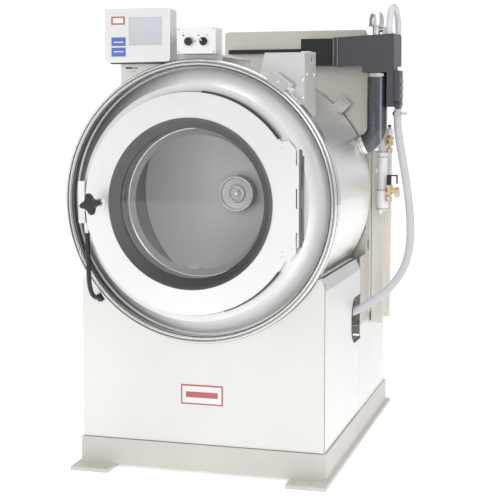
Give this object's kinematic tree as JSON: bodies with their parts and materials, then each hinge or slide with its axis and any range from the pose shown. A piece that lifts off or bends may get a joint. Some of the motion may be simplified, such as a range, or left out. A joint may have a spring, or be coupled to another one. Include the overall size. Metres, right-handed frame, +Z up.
{
  "type": "washer-extractor",
  "caption": "Rigid-mount front-loading washer-extractor with a round glass door, hand-turned latch, belt-driven drum, raised control boxes and a side water supply column",
  "frame": {"origin": "The middle of the four floor anchor holes, at floor level.", "axes": "+Z is up, -Y is the front with the door, +X is the machine's right as seen from the front."},
  "size_m": [1.0475, 1.365, 1.557],
  "materials": {
    "base_paint": "satin beige-grey paint",
    "sheet_steel": "fine brushed stainless sheet, off-white in soft light",
    "plain_steel": "plain stainless sheet",
    "bright_steel": "smooth bright stainless",
    "door_steel": "smooth stainless pan",
    "box_steel": "fine brushed stainless",
    "screen": "flat blue-grey display",
    "black_knob": "moulded black plastic",
    "gasket": "dark grey moulded rubber",
    "clear_glass": "clear toughened glass",
    "white_paint": "satin white paint",
    "bright_chrome": "polished plating",
    "drum_steel": "satin stainless sheet",
    "shaft_steel": "machined steel",
    "cast_grey": "painted casting",
    "frame_paint": "grey paint",
    "motor_paint": "blue-grey paint",
    "black_rubber": "black rubber",
    "dark_plastic": "moulded dark grey plastic",
    "light_plastic": "moulded light grey plastic",
    "white_hose": "smooth milky hose",
    "clear_hose": "clear soft hose",
    "zinc_steel": "zinc-plated steel",
    "valve_brass": "plain brass"
  },
  "bodies": {
    "machine": {"base_frame": "base_paint", "front_panel": "sheet_steel", "side_panel_right": "sheet_steel", "side_panel_left": "sheet_steel", "drive_cover": "sheet_steel", "rear_cover": "sheet_steel", "rear_panel": "sheet_steel", "shell_saddle": "plain_steel", "shell_cylinder": "plain_steel", "shell_back": "plain_steel", "control_stand": "plain_steel", "lifting_bracket": "plain_steel", "wire_channel": "plain_steel", "tie_brackets": "plain_steel", "clamp_ring": "bright_steel", "clamp_lug": "bright_steel", "shell_head": "bright_steel", "bracket_bolts": "bright_steel", "panel_screws": "bright_steel", "hinge_bracket": "bright_steel", "hose_clamps": "bright_steel", "control_box": "box_steel", "switch_box": "box_steel", "switch_plate": "box_steel", "touch_screen": "screen", "latch_bracket": "white_paint", "hinge_pin": "bright_chrome", "lock_body": "bright_chrome", "vacuum_breaker": "bright_chrome", "bearing_housing": "cast_grey", "drive_frame": "frame_paint", "motor": "motor_paint", "drive_belts": "black_rubber", "inlet_elbow": "black_rubber", "lock_cable": "black_rubber", "drain_valve": "dark_plastic", "injector_body": "dark_plastic", "injector_manifold": "dark_plastic", "port_caps": "light_plastic", "hose_socket": "light_plastic", "supply_hose": "white_hose", "vent_loop": "clear_hose", "service_column": "zinc_steel", "supply_pipe": "zinc_steel", "solenoid_valve": "valve_brass", "ball_valve": "valve_brass"},
    "door": {"door_plate": "door_steel", "door_gasket": "gasket", "door_glass": "clear_glass"},
    "knob": {"star_knob": "black_knob", "latch_stud": "bright_chrome"},
    "drum": {"drum_basket": "drum_steel", "drum_ribs": "drum_steel", "hub_cap": "drum_steel", "drum_shaft": "shaft_steel", "drum_pulley": "cast_grey"},
    "motor_rotor": {"motor_pulley": "cast_grey"},
    "start": {"start_button": "black_knob"},
    "selector": {"selector_knob": "black_knob"},
    "lever": {"valve_lever": "black_knob"}
  },
  "joints": [
    {"name": "door_swing", "type": "hinge", "parent": "machine", "child": "door", "pos_m": [0.349, -0.654, 0.9], "axis": [0, 0, 1], "range_deg": [0, 175]},
    {"name": "knob_turn", "type": "hinge", "parent": "door", "child": "knob", "pos_m": [-0.297, -0.661, 0.886], "axis": [0, -1, 0], "range_deg": [0, 90]},
    {"name": "drum_spin", "type": "hinge", "parent": "machine", "child": "drum", "pos_m": [0, -0.157, 0.886], "axis": [0, 1, 0], "continuous": true},
    {"name": "motor_spin", "type": "hinge", "parent": "machine", "child": "motor_rotor", "pos_m": [0, 0.243, 0.25], "axis": [0, 1, 0], "continuous": true},
    {"name": "start_press", "type": "slide", "parent": "machine", "child": "start", "axis": [0, 1, 0], "range_m": [0, 0.004], "stiffness_N_per_m": 600, "springref_m": -0.002},
    {"name": "selector_turn", "type": "hinge", "parent": "machine", "child": "selector", "pos_m": [0.02, -0.577, 1.392], "axis": [0, -1, 0], "range_deg": [-45, 45]},
    {"name": "lever_turn", "type": "hinge", "parent": "machine", "child": "lever", "pos_m": [0.488, 0.169, 0.94], "axis": [0, 0, 1], "range_deg": [0, 90]}
  ],
  "couplings": [
    {"joint": "motor_spin", "follows": "drum_spin", "ratio": 4.2222}
  ]
}
